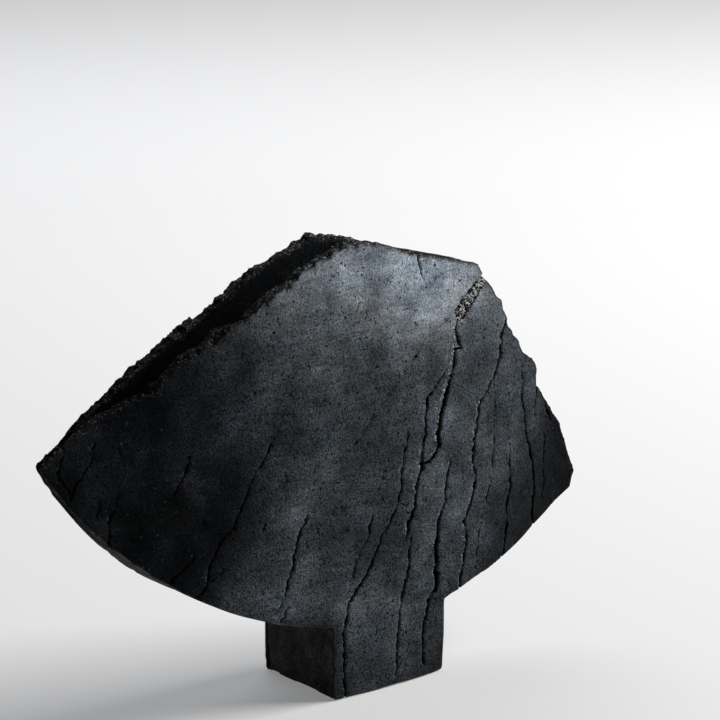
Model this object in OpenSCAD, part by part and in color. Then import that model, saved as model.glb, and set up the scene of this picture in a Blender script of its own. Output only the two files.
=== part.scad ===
// Slab-built vase of unglazed black clay: two bowed fan-shaped slabs meet at their tips,
// lean towards each other over a hollow square foot, and stay open along their torn upper rims.
// +X is to the right along the front slab, +Y is to the back, +Z is up, in millimetres.
// The origin is the centre of the underside of the foot.

/* [Foot] */
// Width of the foot along the front slab
foot_w = 105; // [95:1:110]
// Depth of the foot from front face to back face
foot_d = 88; // [84:1:92]
// Height of the foot, where the slabs start to lean
foot_h = 55; // [53:0.5:56]
// Thickness of the foot's left and right walls
foot_wall_t = 10; // [8:0.5:12]
// Thickness of the plate that closes the foot
base_t = 9; // [6:0.5:12]
// Clay of the front and back slabs left beside each foot wall's rebate
rebate_lip = 4; // [3:0.5:6]
// How far the slabs are scraped back on both faces where they form the foot
foot_scrape = 0.4; // [0.3:0.1:0.6]

/* [Slabs] */
// Thickness of the front and back slabs
slab_t = 10; // [8:0.5:12]
// Radius of the bow of each slab, seen from above
bow_r = 700; // [680:5:760]
// Where the deepest part of the bow stands, left of the middle of the foot
bow_x = -29; // [-35:1:-22]
// Lean of each slab towards the middle
lean = 4; // [3.5:0.1:4.5]
// Total thickness of the pinched left and right tips
tip_t = 7; // [6:0.5:10]
// Depth of the tear at the upper right corner of the front slab
tear_depth = 6; // [4:0.5:8]

/* [Underside] */
// Thickness of the bands that close the underside between the slabs
band_t = 9; // [7:0.5:11]
// Radius of the cut lower edge on the left
left_hem_r = 322; // [320:1:324]
// Radius of the cut lower edge on the right
right_hem_r = 800; // [796:1:804]

/* [Seams] */
// Thickness of the clay coils pressed along the inner seams
coil_t = 6; // [4:0.5:8]

/* [Hidden] */
$fn = 96;

// Longer than anything in the model, for cutting
reach = 500;
// Half sizes of the foot, outside and inside
half_w = foot_w / 2;
half_d = foot_d / 2;
half_in = half_w - foot_wall_t;
// Centres of the two lower edge arcs, in the plane of the outline
left_hem_c = [2, 372.5];
right_hem_c = [-115, 837];
// Inner face of the slabs in the foot, measured from the fan's outer face
foot_face_in = slab_t - foot_scrape;
// How far the foot's tab runs up inside the leaned slab
tab_overlap = 2;
// Space left between facing coils where the slabs come together
coil_gap = 4;
// Half depth of each foot wall: its ends stop short of the bowed outer faces
left_wall_y = half_d - bow_gap(-half_w) - rebate_lip;
right_wall_y = half_d - bow_gap(half_w) - rebate_lip;

// Torn upper rims in x and z, from the left tip over the top to the right tip
front_rim = [[-270, 205], [-240, 228], [-190, 245], [-165, 263], [-130, 283], [-115, 287],
             [-80, 308], [-50, 323], [-25, 330], [0, 327], [40, 313], [102, 297],
             [110, 285], [130, 263], [135, 248], [150, 225], [168, 210], [170, 192],
             [195, 157], [211, 117], [207, 105]];
back_rim = [[-270, 204], [-235, 232], [-200, 253], [-160, 272], [-125, 286], [-90, 304],
            [-60, 317], [-30, 330], [0, 326], [40, 313], [102, 297], [112, 284],
            [130, 260], [150, 230], [165, 210], [180, 180], [205, 134], [211, 117],
            [207, 105]];
// Outline of the tear that runs down the front slab from its upper right corner
tear = [[116, 291], [98, 271], [80, 255], [73, 266], [90, 279], [110, 292]];

// How far the bowed face lies behind its deepest line at a given x
function bow_gap(x) = bow_r - sqrt(pow(bow_r, 2) - pow(x - bow_x, 2));

// Stands an outline drawn in x and z upright, through the whole depth
module upright() {
    rotate([90, 0, 0])
        translate([0, 0, -reach / 2])
            linear_extrude(height = reach) children();
}

// Leans its children back about the line where the foot's front face ends
module leaned() {
    translate([0, -half_d, foot_h])
        rotate([-lean, 0, 0])
            translate([0, half_d, -foot_h]) children();
}

// Solid inside the bowed front face, moved inwards by an inset
module bow(inset) {
    translate([bow_x, bow_r - half_d, -reach / 2])
        cylinder(r = bow_r - inset, h = 2 * reach, $fn = 720);
}

// Space between the two leaned slabs, inset from their outer faces
module between_slabs(inset) {
    intersection() {
        leaned() bow(inset);
        mirror([0, 1, 0]) leaned() bow(inset);
    }
}

// Space between the upright faces of the foot
module between_foot_faces(inset) {
    intersection() {
        bow(inset);
        mirror([0, 1, 0]) bow(inset);
    }
}

// Box from one corner to the opposite one
module block(low, high) {
    translate(low) cube(high - low);
}

// Disc segment above each lower edge, moved inwards by an inset
module left_hem(inset) {
    intersection() {
        translate(left_hem_c) circle(r = left_hem_r - inset, $fn = 720);
        translate([-reach, 0]) square([reach, reach]);
    }
}

module right_hem(inset) {
    intersection() {
        translate(right_hem_c) circle(r = right_hem_r - inset, $fn = 1440);
        square([reach, reach]);
    }
}

// Elevation of the fan above the foot, under one torn rim
module fan_outline(rim) {
    intersection() {
        polygon(concat(rim, [[rim[len(rim) - 1][0], foot_h - 1], [rim[0][0], foot_h - 1]]));
        union() {
            left_hem(0);
            right_hem(0);
        }
    }
}

// One fan slab with its foot tab, as the front slab lies, before its tear
module slab(rim) {
    difference() {
        union() {
            difference() {
                intersection() {
                    upright() fan_outline(rim);
                    union() {
                        leaned() bow(0);
                        block([-reach, -tip_t / 2, 0], [reach, 0, reach]);
                    }
                    block([-reach, -reach, 0], [reach, 0, reach]);
                }
                leaned() bow(slab_t);
            }
            difference() {
                intersection() {
                    block([-half_w, -reach, 0], [half_w, 0, foot_h + tab_overlap]);
                    bow(foot_scrape);
                }
                bow(foot_face_in);
            }
        }
        foot_wall_blank(-half_w, left_wall_y) left_hem(0);
        foot_wall_blank(half_in, right_wall_y) right_hem(0);
    }
}

// Foot wall that stands on the ground and stops under the band, whose outline is the child
module foot_wall_blank(x, wall_y) {
    difference() {
        block([x, -wall_y, 0], [x + foot_wall_t, wall_y, foot_h + 5]);
        upright() children();
    }
}

// Strip of clay along a lower edge, from just inside a foot wall to the tip
module band_strip(x_low, x_high, inset, thick) {
    intersection() {
        upright() difference() {
            if (x_high < 0) left_hem(inset);
            else right_hem(inset);
            if (x_high < 0) left_hem(inset + thick);
            else right_hem(inset + thick);
        }
        block([x_low, -reach, 0], [x_high, reach, reach / 2]);
        children();
    }
}

module front_slab() {
    color([0.13, 0.13, 0.14])
        difference() {
            slab(front_rim);
            difference() {
                upright() polygon(tear);
                leaned() bow(tear_depth);
            }
        }
}

module back_slab() {
    color([0.10, 0.10, 0.11]) mirror([0, 1, 0]) slab(back_rim);
}

module left_underside_band() {
    color([0.24, 0.23, 0.22])
        band_strip(-reach, -half_in, 0, band_t) between_slabs(slab_t);
}

module right_underside_band() {
    color([0.24, 0.23, 0.22])
        band_strip(half_in, reach, 0, band_t) between_slabs(slab_t);
}

module foot_left_wall() {
    color([0.17, 0.16, 0.15]) foot_wall_blank(-half_w, left_wall_y) left_hem(0);
}

module foot_right_wall() {
    color([0.17, 0.16, 0.15]) foot_wall_blank(half_in, right_wall_y) right_hem(0);
}

module foot_base() {
    color([0.19, 0.18, 0.17])
        intersection() {
            block([-half_in, -half_d, 0], [half_in, half_d, base_t]);
            between_foot_faces(foot_face_in);
        }
}

// Coil pressed round the seam between the base and the foot's four sides
module foot_base_coil() {
    color([0.22, 0.21, 0.20])
        difference() {
            intersection() {
                block([-half_in, -half_d, base_t], [half_in, half_d, base_t + coil_t]);
                between_foot_faces(foot_face_in);
            }
            intersection() {
                block([coil_t - half_in, -half_d, 0],
                      [half_in - coil_t, half_d, foot_h]);
                between_foot_faces(foot_face_in + coil_t);
            }
        }
}

// Coil along the seam between a band and the front slab
module seam_coil(x_low, x_high) {
    color([0.22, 0.21, 0.20])
        difference() {
            band_strip(x_low, x_high, band_t, coil_t) between_slabs(slab_t);
            leaned() bow(slab_t + coil_t);
            block([-reach, -coil_gap / 2, 0], [reach, reach, reach]);
        }
}

// Coil up an inside corner of the foot, between two values of x
module foot_coil(x_low, x_high) {
    color([0.22, 0.21, 0.20])
        difference() {
            intersection() {
                block([x_low, -half_d, base_t + coil_t], [x_high, 0, foot_h - 5]);
                between_foot_faces(foot_face_in);
            }
            bow(foot_face_in + coil_t);
        }
}

front_slab();
back_slab();
left_underside_band();
right_underside_band();
foot_left_wall();
foot_right_wall();
foot_base();
foot_base_coil();
seam_coil(-reach, -half_in);  // seam_coil_front_left
seam_coil(half_in, reach);  // seam_coil_front_right
mirror([0, 1, 0]) seam_coil(-reach, -half_in);  // seam_coil_back_left
mirror([0, 1, 0]) seam_coil(half_in, reach);  // seam_coil_back_right
foot_coil(-half_in, coil_t - half_in);  // foot_coil_front_left
foot_coil(half_in - coil_t, half_in);  // foot_coil_front_right
mirror([0, 1, 0]) foot_coil(-half_in, coil_t - half_in);  // foot_coil_back_left
mirror([0, 1, 0]) foot_coil(half_in - coil_t, half_in);  // foot_coil_back_right
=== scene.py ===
"""Slab-built vase of unglazed black clay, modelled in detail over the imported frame.

Each clay piece starts as a field of distances to its surface, negative inside, on a regular grid,
and becomes a mesh. The fields of the two slabs lie flat: x, depth below the outer face, and z.
They are then laid onto the bowed and leaned faces. Lengths are in millimetres until a mesh is made.
"""
import math

import bpy
import numpy as np
import openvdb
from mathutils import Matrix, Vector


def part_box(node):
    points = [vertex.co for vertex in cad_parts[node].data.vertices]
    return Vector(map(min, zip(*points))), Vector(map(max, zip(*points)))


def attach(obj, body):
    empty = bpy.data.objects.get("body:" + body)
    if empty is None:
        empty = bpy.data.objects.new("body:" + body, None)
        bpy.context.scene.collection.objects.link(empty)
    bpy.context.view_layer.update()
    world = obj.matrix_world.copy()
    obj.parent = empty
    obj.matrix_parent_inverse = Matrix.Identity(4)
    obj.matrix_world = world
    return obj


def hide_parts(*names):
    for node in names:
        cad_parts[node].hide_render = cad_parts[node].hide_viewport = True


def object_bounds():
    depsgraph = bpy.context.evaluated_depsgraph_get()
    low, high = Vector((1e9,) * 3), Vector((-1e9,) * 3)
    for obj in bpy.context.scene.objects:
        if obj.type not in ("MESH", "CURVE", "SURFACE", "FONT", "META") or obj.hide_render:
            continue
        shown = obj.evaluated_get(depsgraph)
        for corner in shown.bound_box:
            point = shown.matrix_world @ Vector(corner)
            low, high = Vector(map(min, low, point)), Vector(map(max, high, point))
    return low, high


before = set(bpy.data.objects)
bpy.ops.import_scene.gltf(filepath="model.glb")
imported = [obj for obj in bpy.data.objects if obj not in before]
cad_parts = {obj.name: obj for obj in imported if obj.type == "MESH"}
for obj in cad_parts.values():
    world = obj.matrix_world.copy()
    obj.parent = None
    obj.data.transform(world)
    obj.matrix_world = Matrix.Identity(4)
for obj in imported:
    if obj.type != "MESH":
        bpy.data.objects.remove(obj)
CAD_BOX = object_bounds()

# ---------------------------------------------------------------- dimensions
MM = 0.001


def low(node):
    return np.array(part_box(node)[0]) / MM


def high(node):
    return np.array(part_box(node)[1]) / MM


# Foot, from the frame
HALF_W = high("foot_right_wall")[0]
HALF_IN = low("foot_right_wall")[0]
HALF_D = -low("front_slab")[1]
LEFT_WALL_Y = high("foot_left_wall")[1]
RIGHT_WALL_Y = high("foot_right_wall")[1]
BASE_T = high("foot_base")[2]
COIL_T = high("foot_base_coil")[2] - BASE_T
FOOT_COIL_Z = (low("foot_coil_front_left")[2], high("foot_coil_front_left")[2])
FOOT_H = 55.0
# How far the foot's tab runs up inside the fan, and the rounding of its far lower edge
TAB_OVERLAP = 6.0
FAR_EDGE = 5.0
# Bowed and leaned slabs
SLAB_T = 10.0
BOW_R = 700.0
BOW_X = -29.0
LEAN = math.radians(4)
TIP_T = 7.0
# Gap left along the plane where the two slabs meet
SEAM = 0.05
# Share of flat detail that a mesh may merge away
COARSENING = 0.3
# How far apart the kinks of a crack lie and how far they step aside: long bends, then short ones
BENDS = (13, 2.2)
KINKS = (4.5, 0.7)
# Cut lower edges and the bands under them
LEFT_HEM = (2.0, 372.5, 322.0)
RIGHT_HEM = (-115.0, 837.0, 800.0)
BAND_T = 9.0

# Torn upper rims in x and z, from the left tip over the top to the right tip, as in the CAD source
FRONT_RIM = [(-270, 205), (-240, 228), (-190, 245), (-165, 263), (-130, 283), (-115, 287),
             (-80, 308), (-50, 323), (-25, 330), (0, 327), (40, 313), (102, 297),
             (110, 285), (130, 263), (135, 248), (150, 225), (168, 210), (170, 192),
             (195, 157), (211, 117), (207, 105)]
BACK_RIM = [(-270, 204), (-235, 232), (-200, 253), (-160, 272), (-125, 286), (-90, 304),
            (-60, 317), (-30, 330), (0, 326), (40, 313), (102, 297), (112, 284),
            (130, 260), (150, 230), (165, 210), (180, 180), (205, 134), (211, 117),
            (207, 105)]
# The tear at the front slab's upper right corner: its two lips, from the rim down
TEAR_UPPER = [(115, 293), (90, 279), (73, 266)]
TEAR_LOWER = [(116, 287), (95, 269), (80, 255)]

# A worn ridge that slants down from the tear across the fan
RIDGE = [(70, 266), (40, 247), (0, 212), (-25, 190), (-45, 168)]

# Cracks: widths at even steps along the route, depth, width of the crumbled left margin, and the
# route with only its main bends. The small kinks come from jagged().
FRONT_CRACKS = [
    # Main crack below the tear, then its lower reaches down to the foot
    ((0.7, 2.6, 3.0, 2.8, 4.0, 3.8, 3.4, 2.6), 8, 4.5,
     [(77, 262), (75, 250), (80, 238), (74, 238), (66, 215), (55, 190), (53, 170), (42, 160),
      (35, 160)]),
    ((2.4, 2.6, 2.4, 1.8, 0.9), 7, 3, [(35, 160), (26, 135), (14, 107)]),
    ((0.6, 1.6, 1.9, 1.6, 1.3), 6, 0, [(20, 110), (15, 80), (7, 55)]),
    ((1.2, 2.0, 2.0, 1.9, 0.8), 5, 0, [(7, 55), (4, 30), (3, 7)]),
    # Side crack that joins it from the left
    ((0.8, 1.2, 1.7, 1.7, 2.0), 7, 0, [(64, 224), (42, 208), (39, 185), (34, 161)]),
    ((0, 0.8, 0.9, 0), 3, 1, [(39, 205), (28, 192)]),
    # Long crack that runs from the middle of the fan into the foot's left side
    ((0.3, 1.3, 1.5, 1.2, 1.4, 1.8, 2.4, 3.0, 3.1, 3.0, 2.8), 8, 0,
     [(23, 190), (15, 162), (12, 145), (-12, 106), (-22, 90), (-40, 70), (-45, 50), (-43, 0)]),
    ((0.5, 0.9, 0.9, 0), 3, 0, [(8, 137), (15, 132), (23, 137)]),
    # Wide crack above the foot's right side
    ((0, 1.0, 1.6, 2.0, 2.6, 3.8, 5.0, 5.2, 4.6), 8, 1,
     [(68, 168), (58, 142), (57, 128), (48, 115), (45, 88), (45, 70), (42, 62)]),
    ((4.4, 3.4, 2.8, 2.4, 2.5, 2.2), 7, 0, [(42, 63), (36, 55), (31, 40), (30, 10)]),
    # The worn ridge has opened in short lengths
    ((0, 1.3, 0, 0, 1.0, 0) * 4, 2.5, 0.8, RIDGE),
    # Cracks of the right wing
    ((1.4, 2.2, 1.6, 1.0, 1.6, 2.2, 1.8, 1.8, 2.4, 2.4, 2.2), 7, 1.5,
     [(133, 250), (118, 212), (98, 192), (90, 165), (87, 128), (76, 108), (74, 80), (69, 56)]),
    ((0.4, 0.9, 0.7, 0.9, 0.6, 0.8, 0.5), 3, 0,
     [(117, 212), (117, 188), (109, 142), (92, 104), (86, 70)]),
    ((0, 1.2, 1.8, 1.7, 1.6, 1.6), 7, 0, [(131, 162), (130, 132), (125, 112), (119, 74)]),
    ((0.2, 1.2, 1.8, 1.6, 1.6, 1.8, 2.8), 7, 0, [(148, 216), (152, 172), (160, 125), (157, 84)]),
    ((0, 0.9, 1.0, 0.7, 0.3), 4, 0, [(175, 162), (174, 118), (170, 104)]),
    ((1.6, 1.2, 0.3), 6, 0, [(176, 184), (185, 158)]),
    ((1.2, 1.0, 0), 5, 0, [(169, 193), (164, 168)]),
    # Crack down from the top edge
    ((0.8, 1.3, 0.9, 0), 5, 0, [(38, 316), (40, 302), (45, 288)]),
    # Cracks of the left wing that reach the lower edge
    ((0.2, 1.3, 1.6, 1.9, 1.6, 1.3), 7, 0, [(-66, 148), (-80, 128), (-84, 108), (-100, 77)]),
    ((0, 1.0, 1.8), 4, 0, [(-89, 82), (-98, 68)]),
    ((0, 0.8, 1.0, 1.2, 1.2, 1.4, 1.6, 1.9, 1.8), 6, 0,
     [(-84, 226), (-98, 200), (-125, 156), (-150, 120), (-154, 105), (-166, 92)]),
    ((0, 0.8, 0.9), 3, 0, [(-136, 117), (-152, 106)]),
    ((0, 1.0, 1.2, 1.4), 4, 0, [(-160, 132), (-184, 104)]),
    ((0, 0.9, 1.0, 0.9, 0), 3, 0, [(-160, 206), (-163, 190), (-178, 168)]),
    # Short cracks near the left tip
    ((0.8, 1.7, 1.5, 1.4, 1.2), 4, 0, [(-256, 220), (-251, 212), (-258, 198), (-248, 182)]),
    ((0.5, 1.5, 1.6, 1.5, 1.2), 4, 0, [(-226, 222), (-233, 200), (-248, 178)]),
    ((0, 1.0, 1.0, 0), 3, 0, [(-225, 180), (-233, 160)]),
    ((0, 1.1, 1.3, 1.3, 1.8), 5, 0, [(-213, 178), (-222, 158), (-221, 143)]),
    ((0, 1.0, 0.6), 3, 0, [(-212, 213), (-210, 203)]),
    # Hair cracks in the middle
    ((0, 0.8, 0.9, 0.9, 0.8, 0), 3, 0, [(-14, 144), (-16, 130), (-32, 100), (-42, 76)]),
    ((0, 0.7, 0), 2, 0, [(4, 174), (-11, 146)]),
    ((0, 0.9, 0), 3, 0, [(-106, 145), (-112, 130)]),
    ((0, 0.7, 0), 2, 0, [(-87, 179), (-91, 167)]),
    ((0, 0.8, 0), 2, 0, [(56, 70), (57, 58)]),
]
# Pits in the front face: x, z, radius, depth
FRONT_PITS = [(-40, 125, 1.6, 1.6), (-155, 150, 1.2, 1.2), (-8, 222, 1.1, 1.0),
              (-140, 175, 1.2, 1.2), (-15, 45, 1.6, 0.8), (-222, 143, 3.0, 2.0),
              (-102, 73, 3.5, 1.2), (38, 58, 4.5, 2.2), (46, 57, 3.0, 1.6)]
# Clouds left by the smoke and the sanding: x, z, reach along x and z, how bright at the centre
FRONT_CLOUDS = [(-6, 249, 13, 10, 0.32), (-32, 230, 14, 10, 0.5), (-100, 200, 20, 22, 0.6),
                (-135, 226, 26, 16, 1.3), (-158, 200, 18, 16, 1.6), (-92, 146, 26, 26, 1.3),
                (-68, 172, 16, 18, 1.6), (38, 155, 24, 26, 2.0), (14, 172, 22, 16, 0.65),
                (-72, 78, 14, 14, 1.5), (-12, 30, 30, 34, 1.5), (20, 112, 22, 16, 0.75),
                (112, 178, 9, 18, 0.7), (110, 112, 12, 20, 0.7), (140, 222, 16, 14, 1.4),
                (-98, 92, 26, 16, 2.2), (24, 52, 24, 12, 1.25), (-60, 285, 20, 14, 0.9),
                (-45, 112, 18, 20, 1.4), (36, 274, 22, 12, 0.7), (75, 208, 50, 22, 1.4),
                (100, 72, 60, 20, 1.8), (30, 102, 24, 14, 1.4), (-45, 68, 12, 12, 1.5),
                (35, 25, 32, 30, 1.35), (130, 214, 28, 22, 1.5), (22, 290, 14, 12, 0.7),
                (-75, 225, 30, 14, 0.7), (-185, 175, 24, 30, 1.7), (-228, 190, 16, 16, 1.6),
                (-150, 110, 20, 16, 1.5), (-105, 240, 26, 16, 1.5)]
BACK_CLOUDS = [(-120, 230, 40, 24, 1.7), (60, 190, 44, 30, 0.55), (-30, 140, 30, 40, 1.5),
               (120, 220, 24, 20, 1.6), (-180, 190, 30, 20, 0.6), (10, 70, 34, 26, 1.4),
               (-90, 130, 26, 22, 0.6), (30, 270, 34, 16, 0.7)]
BACK_CRACKS = [
    ((1.6, 2.0, 1.8, 1.4, 1.6, 2.0, 1.8, 1.2, 0), 7, 2,
     [(-88, 303), (-84, 282), (-90, 262), (-80, 236), (-82, 205), (-70, 178), (-66, 150),
      (-58, 131), (-56, 112)]),
    ((0, 1.2, 1.8, 2.2, 2.0, 1.6), 7, 0,
     [(-24, 176), (-28, 150), (-20, 128), (-25, 104), (-18, 84), (-21, 60), (-17, 28)]),
    ((0, 1.4, 2.0, 1.8, 1.6), 7, 3,
     [(48, 196), (44, 172), (50, 150), (43, 128), (47, 103), (40, 78), (42, 52)]),
    ((1.8, 1.4, 1.0, 0), 5, 0, [(138, 246), (130, 226), (131, 206), (122, 186)]),
    ((0, 1.0, 1.6, 2.0), 6, 0, [(104, 150), (100, 126), (106, 104), (98, 78), (99, 64)]),
    ((0, 0.9, 1.4, 1.6), 5, 0, [(-150, 190), (-143, 168), (-149, 146), (-140, 120), (-142, 90)]),
    ((0, 1.0, 1.3, 1.6), 5, 0, [(-206, 206), (-200, 186), (-205, 166), (-198, 142), (-201, 120)]),
    ((1.2, 0.9, 0), 4, 0, [(10, 324), (6, 306), (10, 290)]),
    ((0, 0.8, 0.9, 0), 3, 0, [(8, 250), (3, 230), (7, 214), (0, 196)]),
    ((0, 0.9, 1.2), 4, 0, [(166, 150), (163, 128), (168, 108), (164, 88)]),
]
BACK_RIDGE = [(-10, 300), (-28, 270), (-40, 250), (-62, 226), (-70, 204)]
BACK_PITS = [(-120, 170, 1.6, 1.4), (70, 230, 1.4, 1.2), (24, 90, 1.8, 1.2),
             (150, 130, 1.3, 1.2), (-60, 262, 1.5, 1.0)]


# ---------------------------------------------------------------- fields
def smooth_max(a, b, blend):
    return 0.5 * (a + b + np.sqrt((a - b) ** 2 + blend ** 2))


def smooth_min(a, b, blend):
    return -smooth_max(-a, -b, blend)


def step(value, start, end):
    """Smooth step from 0 at start to 1 at end."""
    t = np.clip((value - start) / (end - start), 0, 1)
    return t * t * (3 - 2 * t)


def spline_weights(points, wave):
    """Cubic spline weights that spread a lattice of one value per wave over the points."""
    at = (points - points[0]) / wave
    cell = np.floor(at).astype(int)
    f = at - cell
    weights = np.zeros((len(points), cell[-1] + 4), np.float32)
    parts = ((1 - f) ** 3, 3 * f ** 3 - 6 * f ** 2 + 4, 3 * f + 3 * f ** 2 - 3 * f ** 3 + 1, f ** 3)
    for shift, part in enumerate(parts):
        weights[np.arange(len(points)), cell + shift] = part / 6
    return weights


def noise(axes, wave, seed):
    """Smooth random field of unit spread over a grid of axes, with bumps about one wave apart."""
    weights = [spline_weights(axis, wave) for axis in axes]
    random = np.random.default_rng(seed)
    field = random.standard_normal([w.shape[1] for w in weights]).astype(np.float32)
    for number, w in enumerate(weights):
        field = np.moveaxis(np.tensordot(w, field, axes=(1, number)), 0, number)
    return field / field.std()


def rough(axes, waves, heights, seed):
    """Sum of noises of several waves and heights."""
    return sum(h * noise(axes, w, seed + n) for n, (w, h) in enumerate(zip(waves, heights)))


def near_line(x, z, line):
    """Distance to a line, place along it from 0 to 1, and the side: -1 is left of a line going down."""
    best = np.full(np.broadcast(x, z).shape, 1e9)
    along = np.zeros_like(best)
    side = np.ones_like(best)
    run = 0.0
    for (ax, az), (bx, bz) in zip(line[:-1], line[1:]):
        dx, dz = bx - ax, bz - az
        length = math.hypot(dx, dz)
        t = np.clip(((x - ax) * dx + (z - az) * dz) / length ** 2, 0, 1)
        px, pz = x - ax - t * dx, z - az - t * dz
        square = px ** 2 + pz ** 2
        nearer = square < best
        best = np.where(nearer, square, best)
        along = np.where(nearer, run + t * length, along)
        side = np.where(nearer, np.sign(dx * pz - dz * px), side)
        run += length
    return np.sqrt(best), along / run, side


def polygon_distance(x, z, points):
    """Distance to a closed outline, negative inside."""
    closed = points + points[:1]
    inside = np.zeros(np.broadcast(x, z).shape, bool)
    for (ax, az), (bx, bz) in zip(closed[:-1], closed[1:]):
        if az != bz:
            inside ^= ((az > z) != (bz > z)) & (x < ax + (z - az) * (bx - ax) / (bz - az))
    distance = near_line(x, z, closed)[0]
    return np.where(inside, -distance, distance)


def box_distance(coordinates, lows, highs, radius):
    """Distance to a box with rounded edges, negative inside."""
    out, deepest = 0, -1e9
    for p, a, b in zip(coordinates, lows, highs):
        q = np.abs(p - (a + b) / 2) - (b - a) / 2 + radius
        out = out + np.maximum(q, 0) ** 2
        deepest = np.maximum(deepest, q)
    return np.sqrt(out) + np.minimum(deepest, 0) - radius


def far_edge(depth, z):
    """Distance outside the rounded lower edge at the back of the foot."""
    return np.hypot(np.maximum(FAR_EDGE - depth, 0), np.maximum(FAR_EDGE - z, 0)) - FAR_EDGE


def hem_distance(x, z):
    """Distance below the cut lower edges, negative above them."""
    left = np.hypot(x - LEFT_HEM[0], z - LEFT_HEM[1]) - LEFT_HEM[2]
    right = np.hypot(x - RIGHT_HEM[0], z - RIGHT_HEM[1]) - RIGHT_HEM[2]
    return np.where(x < 0, left, right)


# ---------------------------------------------------------------- the bowed faces
def bowed_y(x, depth, z):
    """y of the front slab's clay at a depth below its outer face, before the tips are pinched."""
    gap = BOW_R - np.sqrt((BOW_R - depth) ** 2 - (x - BOW_X) ** 2)
    rise = smooth_max(z - FOOT_H, 0, 5)
    return -HALF_D + gap / math.cos(LEAN) + math.tan(LEAN) * rise


def slab_y(x, depth, z):
    """y of the front slab's clay, with both faces drawn together towards the tips."""
    outer = smooth_min(bowed_y(x, 0, z), -TIP_T / 2, 4)
    inner = smooth_min(bowed_y(x, SLAB_T, z), -SEAM, 2)
    return outer + (inner - outer) * depth / SLAB_T


def half_space(x, z):
    """Half of the space between the slabs' inner faces."""
    return -slab_y(x, SLAB_T, z)


# ---------------------------------------------------------------- meshes
def whole_parts(count, faces, smallest=0.01):
    """Which faces belong to a connected part with at least this share of all points."""
    label = np.arange(count)
    a = np.concatenate([faces[:, 0], faces[:, 1], faces[:, 2]])
    b = np.concatenate([faces[:, 1], faces[:, 2], faces[:, 3]])
    while True:
        la, lb = label[a], label[b]
        apart = la != lb
        if not apart.any():
            break
        np.minimum.at(label, np.maximum(la, lb)[apart], np.minimum(la, lb)[apart])
        while (label[label] != label).any():
            label = label[label]
    sizes = np.bincount(label, minlength=count)
    return sizes[label[faces[:, 0]]] >= smallest * count


def mesh_from_field(name, field, axes, place=None, attributes=None):
    """Mesh of a field's zero surface, laid in place, with values sampled from arrays of attributes."""
    grid = openvdb.FloatGrid(1.5)
    grid.copyFromArray(np.clip(field, -1.5, 1.5).astype(np.float32))
    points, triangles, quads = grid.convertToPolygons(isovalue=0.0, adaptivity=COARSENING)
    faces = np.concatenate([quads, triangles[:, [0, 1, 2, 2]]]).astype(np.int64)
    faces = faces[whole_parts(len(points), faces)]
    used, flat = np.unique(faces, return_inverse=True)
    points, faces = points[used], flat.reshape(faces.shape)

    steps = [axis[1] - axis[0] for axis in axes]
    starts = [axis[0] for axis in axes]
    spot = points * steps + starts
    placed = place(spot) if place else spot
    a, b, c = placed[faces[:, 0]], placed[faces[:, 1]], placed[faces[:, 2]]
    if np.einsum("ij,ij->i", a, np.cross(b, c)).sum() < 0:
        faces = faces[:, [0, 3, 2, 1]]

    mesh = bpy.data.meshes.new(name)
    corners = [list(dict.fromkeys(face)) for face in faces.tolist()]
    mesh.from_pydata((placed * MM).tolist(), [], corners)
    mesh.validate()
    nearest = [np.clip(np.rint(points[:, i]).astype(int), 0, len(axes[i]) - 1) for i in range(3)]
    for key, values in (attributes or {}).items():
        layer = mesh.attributes.new(key, "FLOAT", "POINT")
        if values.ndim == 2:
            sampled = values[nearest[0], nearest[2]]
        else:
            sampled = values[nearest[0], nearest[1], nearest[2]]
        layer.data.foreach_set("value", sampled.astype(np.float32))
    mesh.shade_smooth()
    piece = bpy.data.objects.new(name, mesh)
    bpy.context.collection.objects.link(piece)
    return piece


def finish_piece(piece, node, material):
    """Makes a piece ride with the body, stand for its CAD node and take its material."""
    piece.data.materials.append(material)
    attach(piece, "root")
    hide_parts(node)
    return piece


def grid_axes(lows, highs, spacing):
    return [np.arange(a, b + s, s) for a, b, s in zip(lows, highs, spacing)]


# ---------------------------------------------------------------- slabs
def slab_outline(x, z, rim):
    """Distances to the torn rim and to the cut edges of the fan and the foot tab."""
    torn = polygon_distance(x, z, rim + [(rim[-1][0] + 40, -40), (rim[0][0] - 40, -40)])
    hem = hem_distance(x, z)
    taper = 1.3 * step(z, 42, 0) * (x > 0)
    corner = np.where((x > 0) & (z < FOOT_H / 2), 4.0, 1.0)
    middle = (FOOT_H + TAB_OVERLAP) / 2
    qx = np.abs(x) - HALF_W + taper + corner
    qz = np.abs(z - middle) - middle + corner
    tab = np.hypot(np.maximum(qx, 0), np.maximum(qz, 0)) - corner
    tab += np.minimum(np.maximum(qx, qz), 0)
    cut = smooth_min(np.maximum(hem, FOOT_H - 1 - z), tab, 0.8)
    return torn, cut


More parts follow.
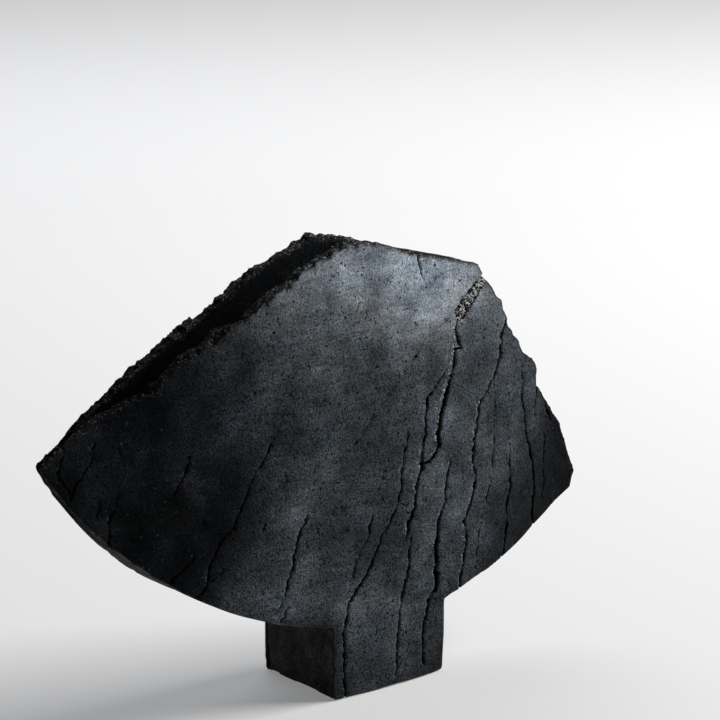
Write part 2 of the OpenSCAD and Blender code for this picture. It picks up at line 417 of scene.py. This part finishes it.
def face_relief(plane, ridge, pits, seed):
    """How deep the outer face lies below its even shape: swells, a worn ridge and pits."""
    xs, zs = plane
    x, z = xs[:, None], zs[None, :]
    relief = rough(plane, (70, 30, 12), (0.45, 0.25, 0.10), seed)
    distance, along, side = near_line(x, z, ridge)
    worn = np.exp(-(distance / 1.0) ** 2) * np.clip(0.4 + 0.6 * noise(plane, 4.5, seed + 5), 0, 1.2)
    shelf = 0.7 * np.exp(-distance / 8) * (side > 0) * np.sin(np.pi * np.clip(along, 0, 1))
    relief += 1.3 * worn - shelf
    random = np.random.default_rng(seed + 9)
    count = 260
    small = np.column_stack([random.uniform(xs[0], xs[-1], count), random.uniform(0, 330, count),
                             random.uniform(0.5, 1.1, count), random.uniform(0.5, 1.3, count)])
    for px, pz, radius, depth in [*pits, *small.tolist()]:
        reach = radius * 2.5
        i = slice(*np.searchsorted(xs, (px - reach, px + reach)))
        k = slice(*np.searchsorted(zs, (pz - reach, pz + reach)))
        away = np.hypot(x[i] - px, z[:, k] - pz) / radius
        relief[i, k] += depth * np.exp(-away ** 3)
    return relief


def smoke_and_painted_light_tone(plane, clouds, seed):
    """Brightness of the outer face: paler at the top centre, a painted sheen with some paler clay, and
    darker towards both tips, partly smoke and partly painted shade.
    """
    xs, zs = plane
    x, z = xs[:, None], zs[None, :]
    # Darker towards the left and the right tip: partly smoke, partly painted shade where the bowed face
    # turns from the light.
    left = 1 - 0.86 * step(x - 0.5 * np.minimum(z - 150, 0), -85, -150)
    right = 1 - 0.92 * step(x - 0.8 * (z - 125), 60, 190)
    # Paler patch at the top centre: painted sheen, with some paler clay.
    pale = 7.4 * step(z, 192, 318) ** 1.9 * np.exp(-((x - 45) / 110) ** 2)
    height = 1.0 + 0.25 * step(z, 170, 130) - 0.35 * step(z, 72, 50)
    tone = height * left * right + pale * (1 + 0.4 * step(z, 290, 312))
    for cx, cz, reach_x, reach_z, bright in clouds:
        cloud = np.exp(-((x - cx) / reach_x) ** 2 - ((z - cz) / reach_z) ** 2)
        tone = tone * (1 + (bright - 1) * cloud)
    return tone * np.exp(rough(plane, (32, 13, 6), (0.18, 0.16, 0.08), seed) * (2.8 - 1.8 * left))


def jagged(route, stretch, reach, random):
    """A route with each leg broken into stretches that kink to either side, less on the foot."""
    line = [route[0]]
    for (ax, az), (bx, bz) in zip(route[:-1], route[1:]):
        length = math.hypot(bx - ax, bz - az)
        count = max(1, round(length / stretch))
        for share in np.arange(1, count) / count:
            aside = random.uniform(-reach, reach) * (1 if az > FOOT_H else 0.4) / length
            line.append((ax + share * (bx - ax) + aside * (bz - az),
                         az + share * (bz - az) - aside * (bx - ax)))
        line.append((bx, bz))
    return line


def crack_plan(plane, crack, wander, ragged, random):
    """Window of the plane round a crack, with its half width, distance and side there."""
    xs, zs = plane
    widths, depth, crumble, route = crack
    route = jagged(jagged(route, *BENDS, random), *KINKS, random)
    reach = 8 + crumble
    across, up = [p[0] for p in route], [p[1] for p in route]
    i = slice(*np.searchsorted(xs, (min(across) - reach, max(across) + reach)))
    k = slice(*np.searchsorted(zs, (min(up) - reach, max(up) + reach)))
    x = xs[i, None] + wander[0][i, k]
    z = zs[None, k] + wander[1][i, k]
    distance, along, side = near_line(x, z, route)
    half = np.interp(along, np.linspace(0, 1, len(widths)), widths) / 2
    half = half * np.clip(1 + 0.25 * ragged[i, k], 0.4, 1.6)
    return (i, k), half, distance, side, depth, crumble


def crumbled_margin(relief, plan, crumbs):
    """Breaks up the strip along a crack's left side and chips both of its lips."""
    window, half, distance, side, depth, crumble = plan
    lumps = crumbs[window]
    chips = np.clip(0.2 + 0.5 * lumps, 0, 1) * (half > 0.3)
    relief[window] += 0.35 * chips * np.exp(-np.maximum(distance - half, 0) / 0.6)
    wide = crumble * np.clip(half / 0.9, 0, 1) * np.clip(0.55 + 0.45 * lumps, 0, 1.2)
    narrow = np.clip(0.8 * lumps - 0.25, 0, 1.2) * (half > 0.35)
    broken = step(wide + narrow - distance + half, 0, 0.7) * (side < 0)
    relief[window] += broken * np.clip(0.55 * lumps - 0.1, -0.6, 0.9)
    return window, broken


def make_slab(node, rim, cracks, ridge, pits, clouds, seed, spacing, tear=None, back=False):
    """One fan slab with its foot tab: torn rim, cut edges, cracks and worn face."""
    axes = grid_axes((-274, -1.8, -1.3), (215, SLAB_T + 1.8, 333), spacing)
    xs, ws, zs = axes
    plane = (xs, zs)
    x2, z2 = xs[:, None], zs[None, :]
    w = ws[None, :, None]

    torn, cut = slab_outline(x2, z2, rim)
    relief = face_relief(plane, ridge, pits, seed)
    wander = [rough(plane, (4, 1.6), (0.22, 0.32), seed + 20),
              rough(plane, (4, 1.6), (0.22, 0.32), seed + 24)]
    ragged = noise(plane, 3.5, seed + 28)
    crumbs = rough(plane, (3.2, 1.6), (0.7, 0.7), seed + 30)
    random = np.random.default_rng(seed + 35)
    plans = [crack_plan(plane, crack, wander, ragged, random) for crack in cracks]
    broken = np.zeros_like(relief)
    for plan in plans:
        window, part = crumbled_margin(relief, plan, crumbs)
        broken[window] = np.maximum(broken[window], part)

    # Torn clay: scallops along the rim, coarse grain through its thickness, chips at both faces
    grain = rough(axes, (7, 3.6, 1.8), (0.35, 0.5, 0.5), seed + 40)
    scallops = rough(plane, (22, 9), (0.3, 0.35), seed + 50)
    chips = np.clip(noise(plane, 5, seed + 55) + 0.2, 0, 3)[:, None, :]
    inner_chips = np.clip(noise(plane, 6, seed + 57) + 0.4, 0, 3)[:, None, :]
    ragged_rim = 1 - 0.85 * step(x2, -30, 70) + 0.45 * step(x2, 108, 125) * step(z2, 285, 265)
    ragged_rim = ragged_rim[:, None, :]
    rim_field = torn[:, None, :] + 0.5 * ragged_rim + ragged_rim * (grain + scallops[:, None, :])
    rim_field += 1.2 * ragged_rim * chips * np.clip(1 - w / 3.5, 0, 1.3)
    rim_field += 1.1 * ragged_rim * inner_chips * np.clip(1 - (SLAB_T - w) / 4, 0, 1.3)
    near_rim = step(rim_field, -2.6, -0.4)

    edge_wear = np.clip(0.9 + 0.35 * noise(plane, 14, seed + 60), 0.4, 2)[:, None, :]
    nicks = np.clip(rough(plane, (12, 4), (0.6, 0.35), seed + 63) + 0.1, 0, 2)
    nicks *= back * step(z2, FOOT_H, 70)
    cut_field = (cut + nicks + 0.15 * noise(plane, 16, seed + 61))[:, None, :]
    inner_face = SLAB_T + rough(plane, (34, 15), (0.35, 0.2), seed + 62)
    face = relief[:, None, :] - w
    field = smooth_max(cut_field, face, edge_wear)
    field = smooth_max(field, w - inner_face[:, None, :], 0.9)
    field = smooth_max(field, rim_field, 0.5)
    if back:
        field = np.maximum(field, far_edge(w, zs[None, None, :]))

    for plan in plans:
        (i, k), half, distance, _, depth, _ = plan
        closing = np.clip(1 - w / depth, 0, 1) ** 0.6
        gap = half[:, None, :] * closing - distance[:, None, :] + 0.18 * grain[i, :, k]
        gap = np.where(w > depth, -1.0, gap)
        field[i, :, k] = np.maximum(field[i, :, k], gap)

    torn_map = np.zeros_like(relief)
    if tear:
        upper, lower = tear
        inside = polygon_distance(x2 + wander[0], z2 + wander[1], upper + lower[::-1])
        from_upper = near_line(x2, z2, upper)[0]
        from_lower = near_line(x2, z2, lower)[0]
        # Coarse floor of the tear, deeper along both lips
        floor = 1.2 + 1.1 * crumbs
        floor += 4.5 * step(from_upper, 3.0, 1.7) + 3.0 * step(from_lower, 1.2, 0.3)
        pocket = np.minimum(-inside[:, None, :], floor[:, None, :] - w + 0.8 * grain)
        field = np.maximum(field, pocket)
        torn_map = step(inside, 1.0, -0.5)

    # Rebates for the foot's side walls
    y = slab_y(xs[:, None, None], w, zs[None, None, :])
    for sign, wall_y in ((-1, LEFT_WALL_Y), (1, RIGHT_WALL_Y)):
        beside = HALF_IN - sign * x2[:, :, None]
        below = -hem_distance(x2, z2)[:, None, :]
        rebate = np.minimum(np.minimum(y + wall_y, -beside), -below)
        field = np.maximum(field, rebate)

    def lay(spot):
        placed = spot.copy()
        placed[:, 1] = slab_y(spot[:, 0], spot[:, 1], spot[:, 2])
        if back:
            placed[:, 1] *= -1
        return placed

    # Masks for the shader: 'depth' drives painted shade in recesses, 'broken' marks crumbled margins
    # and the tear that get painted highlights, and 'tone' holds smoke mottling with painted sheen and
    # shade.
    depth_map = np.broadcast_to(w - relief[:, None, :], field.shape)
    hem_map = step(-cut, 1.6, 0.4)
    return mesh_from_field(
        node + "_clay", field, axes, lay,
        attributes={"torn": np.maximum(near_rim, torn_map[:, None, :]), "depth": depth_map,
                    "hem": hem_map, "broken": np.maximum(broken, torn_map),
                    "tone": smoke_and_painted_light_tone(plane, clouds, seed + 70)})


# ---------------------------------------------------------------- bands, foot and coils
def make_band(node, side):
    """Strip of clay that closes the underside between the slabs on one side."""
    box = low(node) - 2, high(node) + 2
    axes = grid_axes(*box, (0.9, 0.9, 0.9))
    x, y, z = np.meshgrid(*axes, indexing="ij", sparse=True)
    seed = 300 + 20 * side
    outside = hem_distance(x, z)
    half = half_space(x, z)
    swell = rough(axes, (40, 14), (0.3, 0.15), seed)
    field = smooth_max(outside + swell, np.abs(y) - half + 0.15, 1.1)
    field = smooth_max(field, -BAND_T - outside + swell, 0.9)
    field = np.maximum(field, HALF_IN - side * x)
    field = np.maximum(field, 1.2 - half)
    return mesh_from_field(node + "_clay", field, axes)


def make_foot_wall(node, side, wall_y):
    """Side of the foot: a slab with soft edges, a little uneven."""
    box = low(node) - 2, high(node) + 2
    axes = grid_axes(*box, (0.7, 0.7, 0.7))
    x, y, z = np.meshgrid(*axes, indexing="ij", sparse=True)
    seed = 340 + 20 * side
    lows = (min(side * HALF_IN, side * HALF_W), -wall_y + 0.15, 0)
    highs = (max(side * HALF_IN, side * HALF_W), wall_y - 0.15, FOOT_H + 8)
    swell = rough(axes, (28, 10), (0.25, 0.12), seed)
    field = box_distance((x, y, z), lows, highs, 0.9) + swell + 0.15
    field = smooth_max(field, 0.1 - hem_distance(x, z), 0.6)
    field = np.maximum(field, far_edge(-slab_y(x, 0, z) - y, z))
    return mesh_from_field(node + "_clay", field, axes)


def make_base():
    """Plate that closes the foot, set in between its four sides."""
    node = "foot_base"
    axes = grid_axes(low(node) - 2, high(node) + 2, (0.9, 0.9, 0.9))
    x, y, z = np.meshgrid(*axes, indexing="ij", sparse=True)
    swell = rough(axes, (26, 9), (0.25, 0.15), 380)
    field = smooth_max(np.abs(x) - HALF_IN + 0.2, np.abs(y) - half_space(x, z) + 0.2, 0.8)
    field = smooth_max(field, np.abs(z - BASE_T / 2) - BASE_T / 2 + np.abs(swell) * 0.6, 1.2)
    return mesh_from_field(node + "_clay", field, axes)


def pressed(reach_a, reach_b, along, seed, axes):
    """Coil pressed into a corner, dented by a finger at every few centimetres."""
    dents = 0.5 * np.cos(along * 2 * math.pi / 13 + 1.5 * noise(axes, 30, seed))
    thick = COIL_T - 0.9 + dents + 0.25 * noise(axes, 6, seed + 1)
    round_face = np.sqrt(np.maximum(reach_a, 0) ** 2 + np.maximum(reach_b, 0) ** 2) - thick
    return np.maximum(np.maximum(round_face, 0.05 - reach_a), 0.05 - reach_b)


def make_seam_coil(node, side, front):
    """Coil along the inner seam between a band and a slab."""
    axes = grid_axes(low(node) - 2, high(node) + 2, (0.8, 0.8, 0.8))
    x, y, z = np.meshgrid(*axes, indexing="ij", sparse=True)
    above_band = -BAND_T - hem_distance(x, z)
    off_slab = half_space(x, z) - front * y
    field = pressed(above_band, off_slab, x * 1.15, 400 + 3 * side + front, axes)
    field = np.maximum(field, HALF_IN - side * x)
    field = smooth_max(field, 0.6 - front * y, 0.8)
    return mesh_from_field(node + "_clay", field, axes)


def make_foot_coil(node, side, front):
    """Coil up an inside corner of the foot."""
    axes = grid_axes(low(node) - 2, high(node) + 2, (0.7, 0.7, 0.7))
    x, y, z = np.meshgrid(*axes, indexing="ij", sparse=True)
    off_wall = HALF_IN - side * x
    off_slab = half_space(x, z) - front * y
    field = pressed(off_wall, off_slab, z, 420 + 3 * side + front, axes)
    field = np.maximum(field, np.maximum(FOOT_COIL_Z[0] - z, z - FOOT_COIL_Z[1]))
    return mesh_from_field(node + "_clay", field, axes)


def make_base_coil():
    """Coil round the seam between the base and the foot's four sides."""
    node = "foot_base_coil"
    axes = grid_axes(low(node) - 2, high(node) + 2, (0.8, 0.8, 0.8))
    x, y, z = np.meshgrid(*axes, indexing="ij", sparse=True)
    off_side = smooth_min(HALF_IN - np.abs(x), half_space(x, z) - np.abs(y), 1.5)
    field = pressed(off_side, z - BASE_T, x + y, 440, axes)
    return mesh_from_field(node + "_clay", field, axes)


# ---------------------------------------------------------------- materials
class Shader:
    """Short way to write a node tree. Each method adds a node and gives its output back."""

    def __init__(self, name):
        self.material = bpy.data.materials.new(name)
        self.material.use_nodes = True
        self.tree = self.material.node_tree
        self.surface = self.tree.nodes["Principled BSDF"]
        self.place = self.add("ShaderNodeTexCoord").outputs["Object"]

    def add(self, kind, *inputs, **settings):
        node = self.tree.nodes.new(kind)
        for key, value in settings.items():
            setattr(node, key, value)
        for number, value in enumerate(inputs):
            self.set(node.inputs[number], value)
        return node

    def set(self, socket, value):
        if isinstance(value, bpy.types.NodeSocket):
            self.tree.links.new(value, socket)
        elif value is not None:
            socket.default_value = value

    def math(self, operation, a, b):
        return self.add("ShaderNodeMath", a, b, operation=operation).outputs[0]

    def product(self, *values):
        result = values[0]
        for value in values[1:]:
            result = self.math("MULTIPLY", result, value)
        return result

    def noise(self, scale, detail=2.0, roughness=0.5, stretch=None):
        """Noise over the object, or drawn out along a slant by a stretch below 1."""
        node = self.add("ShaderNodeTexNoise")
        place = self.place
        if stretch:
            slant = (0, math.radians(50), 0)
            turned = self.add("ShaderNodeMapping", place, None, slant, (stretch, 1, 1))
            place = turned.outputs[0]
        self.set(node.inputs["Vector"], place)
        self.set(node.inputs["Scale"], scale)
        self.set(node.inputs["Detail"], detail)
        self.set(node.inputs["Roughness"], roughness)
        return node.outputs["Fac"]

    def range(self, value, start, end, to_start=0.0, to_end=1.0):
        node = self.add("ShaderNodeMapRange", value, start, end, to_start, to_end)
        return node.outputs[0]

    def attribute(self, name):
        return self.add("ShaderNodeAttribute", attribute_name=name).outputs["Fac"]

    def mix(self, factor, a, b):
        node = self.add("ShaderNodeMix", data_type="RGBA")
        self.set(node.inputs[0], factor)
        self.set(node.inputs[6], a)
        self.set(node.inputs[7], b)
        return node.outputs[2]

    def scaled(self, colour, factor):
        node = self.add("ShaderNodeVectorMath", colour, operation="SCALE")
        self.set(node.inputs["Scale"], factor)
        return node.outputs[0]

    def bump(self, height, distance, strength=1.0, normal=None):
        node = self.add("ShaderNodeBump")
        self.set(node.inputs["Strength"], strength)
        self.set(node.inputs["Distance"], distance)
        self.set(node.inputs["Height"], height)
        self.set(node.inputs["Normal"], normal)
        return node.outputs[0]

    def wear(self, colour, roughness, normal):
        self.set(self.surface.inputs["Base Color"], colour)
        self.set(self.surface.inputs["Roughness"], roughness)
        self.set(self.surface.inputs["Normal"], normal)
        return self.material


def slab_clay(name):
    """Smoke-fired slab: satin and speckled on its face, coarse and black where it is torn, with painted
    glints, painted highlights on crumbs and painted shade in cracks and recesses.
    """
    s = Shader(name)
    tone = s.attribute("tone")
    depth = s.attribute("depth")
    contrast = s.range(tone, 1.0, 4.0, 1.15, 0.65)
    speckle = s.range(s.noise(800, 3.0, 0.8), 0.38, 0.64, -0.85, 0.9)
    speckle = s.math("MAXIMUM", s.math("ADD", 1.0, s.product(speckle, contrast)), 0.0)
    pinholes = s.range(s.noise(430, 1.0, 0.5), 0.29, 0.36, 0.1, 1.0)
    streaks = s.range(s.noise(300, 2.0, 0.6, stretch=0.12), 0.3, 0.7, 0.8, 1.2)
    mottle = s.range(s.noise(70, 4.0, 0.65), 0.3, 0.7, 0.65, 1.35)
    bright = s.product(tone, speckle, pinholes, streaks, mottle)
    # Painted shade: the face colour falls to near black deeper than 0.9 to 2.2 mm below the outer face,
    # in cracks, pits, the tear and on the inner face.
    bright = s.product(bright, s.range(depth, 0.9, 2.2, 1.0, 0.04))
    smoke = s.range(s.noise(24, 3.0, 0.6), 0.35, 0.65)
    tint = s.mix(smoke, (0.031, 0.038, 0.045, 1), (0.037, 0.040, 0.043, 1))
    colour = s.scaled(tint, bright)
    specks = s.product(s.range(s.noise(470, 0.0), 0.81, 0.84), s.range(depth, 0.6, 1.0, 1.0, 0.0))
    colour = s.mix(specks, colour, (0.04, 0.043, 0.047, 1))

    # Torn clay is black with painted glints, and torn clay and crumbs are scaled by the face tone, so
    # they carry its painted sheen and shade.
    lit = s.math("ADD", 0.45, s.range(tone, 0.1, 5.0, 0.0, 1.0))
    painted_glints = s.range(s.noise(640, 2.0, 0.5), 0.55, 0.68)
    torn_clay = s.scaled(s.mix(painted_glints, (0.010, 0.0105, 0.011, 1), (0.15, 0.15, 0.155, 1)), lit)
    colour = s.mix(s.attribute("torn"), colour, torn_clay)
    # Crumbs on the cracks' left margins and on the tear floor: bright grains as painted highlight where
    # the light from the right catches them, dimmed with the tone and by painted shade deeper than 2.2
    # mm.
    grains = s.range(s.noise(900, 1.0, 0.5), 0.50, 0.54)
    crumbs = s.mix(grains, (0.005, 0.005, 0.006, 1), (0.36, 0.365, 0.37, 1))
    dimmed = s.product(s.range(tone, 0.08, 0.6, 0.12, 1.0), s.range(depth, 2.2, 4.0, 1.0, 0.04))
    crumbs = s.scaled(crumbs, s.product(lit, dimmed))
    colour = s.mix(s.attribute("broken"), colour, crumbs)

    hem = s.attribute("hem")
    below = s.range(depth, 0.8, 2.0)
    axes = s.add("ShaderNodeSeparateXYZ", s.place).outputs
    east, up = axes["X"], axes["Z"]
    shade = s.product(s.range(east, -0.242, -0.212, 0.15, 1.0),
                      s.range(up, 0.052, 0.062, 0.35, 1.0))
    scraped = s.scaled((0.048, 0.045, 0.040), shade)
    colour = s.mix(s.product(hem, below), colour, scraped)
    # Light line along the hem's arris, stronger on the left: partly worn edge, partly painted
    # highlight.
    arris_wear_and_highlight = s.product(hem, s.math("SUBTRACT", 1.0, below), s.range(s.noise(90), 0.4, 0.6))
    arris_wear_and_highlight = s.product(arris_wear_and_highlight, s.range(east, -0.2, 0.0, 0.8, 0.35))
    colour = s.mix(arris_wear_and_highlight, colour, (0.12, 0.125, 0.13, 1))
    roughness = s.range(s.noise(240, 2.0), 0.35, 0.65, 0.5, 0.68)
    roughness = s.math("ADD", roughness, s.range(depth, 0.8, 3.5, 0.0, 0.25))
    grain = s.bump(s.noise(900, 3.0, 0.7), 0.0009, 1.0)
    normal = s.bump(s.noise(300, 3.0, 0.6), 0.0012, 0.6, grain)
    s.surface.inputs["Specular IOR Level"].default_value = 0.03
    s.surface.inputs["Specular Tint"].default_value = (0.7, 0.88, 1.0, 1)
    return s.wear(colour, roughness, normal)


def plain_clay(name, tint, shade, roughness, blotch=30):
    """Scraped or pressed clay with smoke marks and a fine grain."""
    s = Shader(name)
    smoke = s.range(s.noise(blotch, 4.0, 0.7), 0.36, 0.64)
    colour = s.mix(smoke, (*shade, 1), (*tint, 1))
    speckle = s.range(s.noise(800, 3.0, 0.8), 0.38, 0.64, 0.0, 2.1)
    colour = s.scaled(colour, speckle)
    rough_map = s.range(s.noise(200, 2.0), 0.35, 0.65, roughness - 0.07, roughness + 0.08)
    grain = s.bump(s.noise(1000, 2.0, 0.6), 0.0005, 0.7)
    normal = s.bump(s.noise(190, 3.0, 0.6), 0.0009, 0.5, grain)
    s.surface.inputs["Specular IOR Level"].default_value = 0.05
    return s.wear(colour, rough_map, normal)


# ---------------------------------------------------------------- stage, light and camera
def make_stage():
    """Plain pale floor, just under the foot."""
    size = 12.0
    height = CAD_BOX[0].z - 0.0002
    corners = [(x * size, y * size, height) for x, y in ((-1, -1), (1, -1), (1, 1), (-1, 1))]
    mesh = bpy.data.meshes.new("floor")
    mesh.from_pydata(corners, [], [(0, 1, 2, 3)])
    floor = bpy.data.objects.new("floor", mesh)
    bpy.context.collection.objects.link(floor)
    s = Shader("floor_paint")
    away = s.add("ShaderNodeVectorMath", s.place, operation="LENGTH").outputs["Value"]
    s.surface.inputs["Emission Color"].default_value = (0.98, 0.99, 1.0, 1)
    s.set(s.surface.inputs["Emission Strength"], s.range(away, 1.8, 6.0, 0.21, 0.42))
    s.surface.inputs["Specular IOR Level"].default_value = 0.0
    mesh.materials.append(s.wear((0.52, 0.52, 0.525, 1), 0.9, None))


def make_world():
    """Pale surroundings for the camera, with a faint even light for everything else."""
    world = bpy.data.worlds.new("studio")
    bpy.context.scene.world = world
    world.use_nodes = True
    tree = world.node_tree
    output = tree.nodes["World Output"]
    seen = tree.nodes["Background"]
    seen.inputs["Color"].default_value = (0.86, 0.865, 0.875, 1)
    lit = tree.nodes.new("ShaderNodeBackground")
    lit.inputs["Color"].default_value = (0.9, 0.95, 1.0, 1)
    lit.inputs["Strength"].default_value = 0.045
    path = tree.nodes.new("ShaderNodeLightPath")
    mix = tree.nodes.new("ShaderNodeMixShader")
    tree.links.new(path.outputs["Is Camera Ray"], mix.inputs[0])
    tree.links.new(lit.outputs[0], mix.inputs[1])
    tree.links.new(seen.outputs[0], mix.inputs[2])
    tree.links.new(mix.outputs[0], output.inputs["Surface"])


def make_light(name, place, aim, size, power, colour):
    """Soft rectangular light that faces a point."""
    data = bpy.data.lights.new(name, "AREA")
    data.shape = "RECTANGLE"
    data.size, data.size_y = size
    data.energy = power
    data.color = colour
    light = bpy.data.objects.new(name, data)
    light.location = place
    way = np.array(aim) - np.array(place)
    yaw = math.atan2(-way[0], way[1])
    pitch = math.atan2(way[2], math.hypot(way[0], way[1]))
    light.rotation_euler = (math.pi / 2 + pitch, 0, yaw)
    bpy.context.collection.objects.link(light)


def make_camera():
    """Camera level with the vase's upper third, looking down a little from its left."""
    aim = np.array((-0.0027, -0.0077, 0.2386))
    distance = 2.086
    yaw, pitch = math.radians(38), math.radians(14)
    ahead = np.array((math.sin(yaw) * math.cos(pitch), math.cos(yaw) * math.cos(pitch),
                      -math.sin(pitch)))
    data = bpy.data.cameras.new("camera")
    data.lens = 145
    data.sensor_width = 36
    camera = bpy.data.objects.new("camera", data)
    camera.location = aim - distance * ahead
    camera.rotation_euler = (math.pi / 2 - pitch, 0, -yaw)
    bpy.context.collection.objects.link(camera)
    bpy.context.scene.camera = camera


# ---------------------------------------------------------------- building
bpy.context.scene.view_settings.view_transform = "Standard"
make_camera()
make_stage()
make_world()
make_light("window", (3.6, -1.275, 2.925), (0, 0, 0.15), (2.4, 2.4), 350, (1.0, 0.98, 0.96))
make_light("back_window", (1.2, 2.4, 2.6), (0, 0.6, 0), (3.0, 1.6), 55, (0.94, 0.97, 1.0))

black = slab_clay("black_clay")
underside = plain_clay("underside_clay", (0.060, 0.056, 0.050), (0.018, 0.0175, 0.017), 0.75)
foot = plain_clay("foot_clay", (0.036, 0.035, 0.032), (0.004, 0.0055, 0.0070), 0.66, 60)
coil = plain_clay("coil_clay", (0.050, 0.048, 0.046), (0.028, 0.027, 0.027), 0.75)

FINE = ((0.65, 0.6, 0.65))
MEDIUM = ((0.8, 0.7, 0.8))
finish_piece(make_slab("front_slab", FRONT_RIM, FRONT_CRACKS, RIDGE, FRONT_PITS, FRONT_CLOUDS,
                       1, FINE, tear=(TEAR_UPPER, TEAR_LOWER)),
             "front_slab", black)
finish_piece(make_slab("back_slab", BACK_RIM, BACK_CRACKS, BACK_RIDGE, BACK_PITS, BACK_CLOUDS,
                       101, MEDIUM, back=True),
             "back_slab", black)
for side, name in ((-1, "left"), (1, "right")):
    node = name + "_underside_band"
    finish_piece(make_band(node, side), node, underside)
    node = "foot_" + name + "_wall"
    wall_y = LEFT_WALL_Y if side < 0 else RIGHT_WALL_Y
    finish_piece(make_foot_wall(node, side, wall_y), node, foot)
    for front, place in ((-1, "front"), (1, "back")):
        node = "seam_coil_" + place + "_" + name
        finish_piece(make_seam_coil(node, side, front), node, coil)
        node = "foot_coil_" + place + "_" + name
        finish_piece(make_foot_coil(node, side, front), node, coil)
finish_piece(make_base(), "foot_base", foot)
finish_piece(make_base_coil(), "foot_base_coil", coil)
